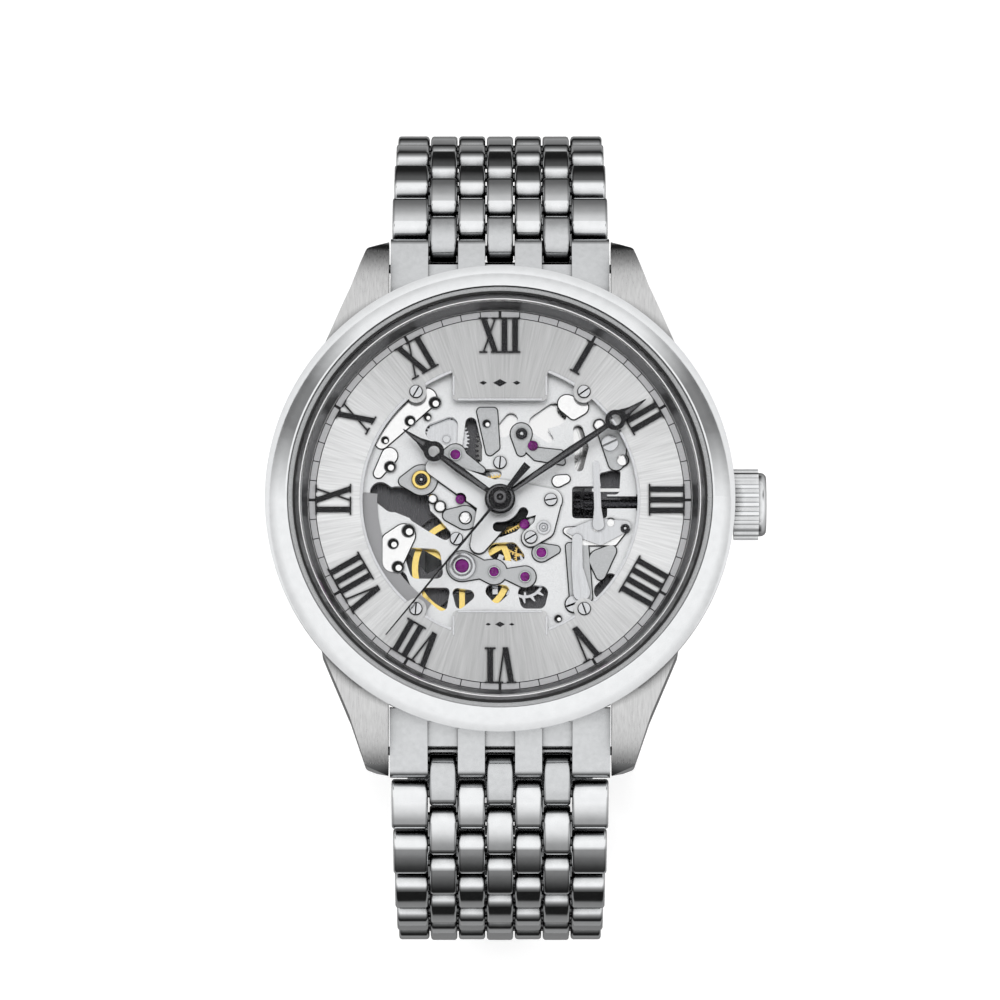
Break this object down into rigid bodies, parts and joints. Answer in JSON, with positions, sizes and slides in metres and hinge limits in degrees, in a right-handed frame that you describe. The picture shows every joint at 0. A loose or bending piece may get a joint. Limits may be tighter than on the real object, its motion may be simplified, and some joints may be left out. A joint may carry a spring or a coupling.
{
  "type": "skeleton wristwatch",
  "caption": "Automatic skeleton wristwatch: round steel head, open dial over a working gear train, crown, and a steel bracelet closed by a folding clasp.",
  "frame": {"origin": "centre of the flat outer face of the back window, which touches the wrist", "axes": "+Z out of the dial, +Y toward twelve on the dial, +X toward the crown; the bracelet loop hangs below in the YZ plane"},
  "size_m": [0.0448, 0.0742, 0.0538],
  "materials": {
    "polished_steel": "mirror polished stainless steel",
    "brushed_steel": "satin brushed stainless steel",
    "crystal_glass": "clear polished crystal",
    "seal_rubber": "matt black rubber",
    "flange_grey": "satin dark grey",
    "dial_silver": "silver with fine rays from the centre",
    "gloss_black": "gloss black lacquer",
    "frosted_plate": "frosted rhodium with polished edges",
    "ruby": "polished synthetic ruby",
    "screw_steel": "polished screw heads",
    "dark_steel": "dark oiled steel",
    "brass": "gilt brass",
    "gold_balance": "gilt polished",
    "rotor_steel": "striped and brushed"
  },
  "bodies": {
    "case": {"case_middle": "brushed_steel", "bezel": "polished_steel", "crystal": "crystal_glass", "case_seals": "seal_rubber", "dial_flange": "flange_grey", "case_back": "brushed_steel", "case_back_window": "crystal_glass", "movement_holder": "brushed_steel", "dial": "dial_silver", "hour_numerals": "gloss_black", "dial_screws": "screw_steel", "main_plate": "frosted_plate", "center_bridge": "frosted_plate", "train_bridge": "frosted_plate", "balance_cock": "frosted_plate", "jewels": "ruby", "movement_screws": "screw_steel", "keyless_works": "screw_steel", "crown_tube": "brushed_steel", "end_links": "polished_steel", "spring_bars": "brushed_steel", "hairspring": "dark_steel"},
    "crown_slide": {"crown_seal": "seal_rubber"},
    "crown_turning": {"crown": "polished_steel", "winding_stem": "dark_steel"},
    "winding_wheel": {"winding_wheel": "screw_steel"},
    "seconds": {"seconds_hand": "gloss_black"},
    "minutes": {"minute_hand": "gloss_black", "center_wheel": "brass"},
    "hours": {"hour_hand": "gloss_black"},
    "third_wheel": {"third_wheel": "brass"},
    "fourth_wheel": {"fourth_wheel": "brass"},
    "escape_wheel": {"escape_wheel": "screw_steel"},
    "mainspring_barrel": {"mainspring_barrel": "dark_steel"},
    "pallet_fork": {"pallet_fork": "screw_steel"},
    "balance_wheel": {"balance_wheel": "gold_balance"},
    "rotor": {"rotor": "rotor_steel"},
    "clasp_cover": {"clasp_cover": "polished_steel"},
    "clasp_outer_blade": {"clasp_outer_blade": "brushed_steel"},
    "clasp_inner_blade": {"clasp_inner_blade": "polished_steel"},
    "clasp_button_left": {"clasp_button_left": "polished_steel"},
    "clasp_button_right": {"clasp_button_right": "polished_steel"},
    "link_12_1": {"link_12_1": "polished_steel"},
    "link_12_2": {"link_12_2": "polished_steel"},
    "link_12_3": {"link_12_3": "polished_steel"},
    "link_12_4": {"link_12_4": "polished_steel"},
    "link_12_5": {"link_12_5": "polished_steel"},
    "link_12_6": {"link_12_6": "polished_steel"},
    "link_12_7": {"link_12_7": "polished_steel"},
    "link_12_8": {"link_12_8": "polished_steel"},
    "link_12_9": {"link_12_9": "polished_steel"},
    "link_6_1": {"link_6_1": "polished_steel"},
    "link_6_2": {"link_6_2": "polished_steel"},
    "link_6_3": {"link_6_3": "polished_steel"},
    "link_6_4": {"link_6_4": "polished_steel"},
    "link_6_5": {"link_6_5": "polished_steel"},
    "link_6_6": {"link_6_6": "polished_steel"},
    "link_6_7": {"link_6_7": "polished_steel"},
    "link_6_8": {"link_6_8": "polished_steel"},
    "link_6_9": {"link_6_9": "polished_steel"}
  },
  "joints": [
    {"name": "crown_pull", "type": "slide", "parent": "case", "child": "crown_slide", "axis": [1, 0, 0], "range_m": [0, 0.001]},
    {"name": "crown_turn", "type": "hinge", "parent": "crown_slide", "child": "crown_turning", "pos_m": [0.021, 0, 0.0046], "axis": [1, 0, 0], "continuous": true},
    {"name": "winding_wheel_turn", "type": "hinge", "parent": "case", "child": "winding_wheel", "pos_m": [-0.0048, 0.00585, 0.0049], "axis": [0, 0, 1], "continuous": true},
    {"name": "seconds_turn", "type": "hinge", "parent": "case", "child": "seconds", "pos_m": [0, 0, 0.009], "axis": [0, 0, -1], "continuous": true},
    {"name": "minutes_turn", "type": "hinge", "parent": "case", "child": "minutes", "pos_m": [0, 0, 0.0086], "axis": [0, 0, -1], "continuous": true},
    {"name": "hours_turn", "type": "hinge", "parent": "case", "child": "hours", "pos_m": [0, 0, 0.0082], "axis": [0, 0, -1], "continuous": true},
    {"name": "third_wheel_turn", "type": "hinge", "parent": "case", "child": "third_wheel", "pos_m": [0.0022, -0.002, 0.004], "axis": [0, 0, -1], "continuous": true},
    {"name": "fourth_wheel_turn", "type": "hinge", "parent": "case", "child": "fourth_wheel", "pos_m": [0.0037, -0.00456, 0.0044], "axis": [0, 0, -1], "continuous": true},
    {"name": "escape_wheel_turn", "type": "hinge", "parent": "case", "child": "escape_wheel", "pos_m": [0.00224, -0.00675, 0.0048], "axis": [0, 0, -1], "continuous": true},
    {"name": "barrel_turn", "type": "hinge", "parent": "case", "child": "mainspring_barrel", "pos_m": [0.00295, 0.0051, 0.0044], "axis": [0, 0, -1], "continuous": true},
    {"name": "pallet_swing", "type": "hinge", "parent": "case", "child": "pallet_fork", "pos_m": [-0.00053, -0.0063, 0.0047], "axis": [0, 0, 1], "range_deg": [-5, 5]},
    {"name": "balance_swing", "type": "hinge", "parent": "case", "child": "balance_wheel", "pos_m": [-0.0034, -0.00578, 0.0043], "axis": [0, 0, 1], "range_deg": [-270, 270]},
    {"name": "rotor_turn", "type": "hinge", "parent": "case", "child": "rotor", "pos_m": [0, 0, 0.002], "axis": [0, 0, 1], "continuous": true},
    {"name": "hinge_12_1", "type": "hinge", "parent": "case", "child": "link_12_1", "pos_m": [0, 0.0256, 0.0014], "axis": [1, 0, 0], "range_deg": [0, 14]},
    {"name": "hinge_12_2", "type": "hinge", "parent": "link_12_1", "child": "link_12_2", "pos_m": [0, 0.0297, -0.0018], "axis": [1, 0, 0], "range_deg": [0, 14]},
    {"name": "hinge_12_3", "type": "hinge", "parent": "link_12_2", "child": "link_12_3", "pos_m": [0, 0.0329, -0.0059], "axis": [1, 0, 0], "range_deg": [0, 14]},
    {"name": "hinge_12_4", "type": "hinge", "parent": "link_12_3", "child": "link_12_4", "pos_m": [0, 0.03501, -0.01065], "axis": [1, 0, 0], "range_deg": [0, 14]},
    {"name": "hinge_12_5", "type": "hinge", "parent": "link_12_4", "child": "link_12_5", "pos_m": [0, 0.03592, -0.01577], "axis": [1, 0, 0], "range_deg": [0, 14]},
    {"name": "hinge_12_6", "type": "hinge", "parent": "link_12_5", "child": "link_12_6", "pos_m": [0, 0.03555, -0.02096], "axis": [1, 0, 0], "range_deg": [0, 14]},
    {"name": "hinge_12_7", "type": "hinge", "parent": "link_12_6", "child": "link_12_7", "pos_m": [0, 0.03395, -0.0259], "axis": [1, 0, 0], "range_deg": [0, 14]},
    {"name": "hinge_12_8", "type": "hinge", "parent": "link_12_7", "child": "link_12_8", "pos_m": [0, 0.03119, -0.03031], "axis": [1, 0, 0], "range_deg": [0, 14]},
    {"name": "hinge_12_9", "type": "hinge", "parent": "link_12_8", "child": "link_12_9", "pos_m": [0, 0.02745, -0.03393], "axis": [1, 0, 0], "range_deg": [0, 14]},
    {"name": "hinge_6_1", "type": "hinge", "parent": "case", "child": "link_6_1", "pos_m": [0, -0.0256, 0.0014], "axis": [-1, 0, 0], "range_deg": [0, 14]},
    {"name": "hinge_6_2", "type": "hinge", "parent": "link_6_1", "child": "link_6_2", "pos_m": [0, -0.0297, -0.0018], "axis": [-1, 0, 0], "range_deg": [0, 14]},
    {"name": "hinge_6_3", "type": "hinge", "parent": "link_6_2", "child": "link_6_3", "pos_m": [0, -0.0329, -0.0059], "axis": [-1, 0, 0], "range_deg": [0, 14]},
    {"name": "hinge_6_4", "type": "hinge", "parent": "link_6_3", "child": "link_6_4", "pos_m": [0, -0.03501, -0.01065], "axis": [-1, 0, 0], "range_deg": [0, 14]},
    {"name": "hinge_6_5", "type": "hinge", "parent": "link_6_4", "child": "link_6_5", "pos_m": [0, -0.03592, -0.01577], "axis": [-1, 0, 0], "range_deg": [0, 14]},
    {"name": "hinge_6_6", "type": "hinge", "parent": "link_6_5", "child": "link_6_6", "pos_m": [0, -0.03555, -0.02096], "axis": [-1, 0, 0], "range_deg": [0, 14]},
    {"name": "hinge_6_7", "type": "hinge", "parent": "link_6_6", "child": "link_6_7", "pos_m": [0, -0.03395, -0.0259], "axis": [-1, 0, 0], "range_deg": [0, 14]},
    {"name": "hinge_6_8", "type": "hinge", "parent": "link_6_7", "child": "link_6_8", "pos_m": [0, -0.03119, -0.03031], "axis": [-1, 0, 0], "range_deg": [0, 14]},
    {"name": "hinge_6_9", "type": "hinge", "parent": "link_6_8", "child": "link_6_9", "pos_m": [0, -0.02745, -0.03393], "axis": [-1, 0, 0], "range_deg": [0, 14]},
    {"name": "clasp_open", "type": "hinge", "parent": "link_12_9", "child": "clasp_cover", "pos_m": [0, 0.02295, -0.03653], "axis": [1, 0, 0], "range_deg": [0, 80]},
    {"name": "outer_blade_fold", "type": "hinge", "parent": "clasp_cover", "child": "clasp_outer_blade", "pos_m": [0, -0.01818, -0.03841], "axis": [1, 0, 0], "range_deg": [0, 80]},
    {"name": "inner_blade_fold", "type": "hinge", "parent": "clasp_outer_blade", "child": "clasp_inner_blade", "pos_m": [0, 0.01801, -0.03789], "axis": [1, 0, 0], "range_deg": [-80, 0]},
    {"name": "clasp_button_left_press", "type": "slide", "parent": "clasp_cover", "child": "clasp_button_left", "axis": [1, 0, 0], "range_m": [0, 0.0005], "stiffness_N_per_m": 300},
    {"name": "clasp_button_right_press", "type": "slide", "parent": "clasp_cover", "child": "clasp_button_right", "axis": [-1, 0, 0], "range_m": [0, 0.0005], "stiffness_N_per_m": 300}
  ],
  "couplings": [
    {"joint": "winding_wheel_turn", "follows": "crown_turn", "ratio": -0.38889},
    {"joint": "minutes_turn", "follows": "seconds_turn", "ratio": 0.016667},
    {"joint": "hours_turn", "follows": "seconds_turn", "ratio": 0.0013889},
    {"joint": "third_wheel_turn", "follows": "seconds_turn", "ratio": -0.13333},
    {"joint": "fourth_wheel_turn", "follows": "seconds_turn", "ratio": 1},
    {"joint": "escape_wheel_turn", "follows": "seconds_turn", "ratio": -10},
    {"joint": "barrel_turn", "follows": "seconds_turn", "ratio": -0.0027778},
    {"joint": "outer_blade_fold", "follows": "clasp_open", "ratio": 1},
    {"joint": "inner_blade_fold", "follows": "clasp_open", "ratio": -1}
  ]
}
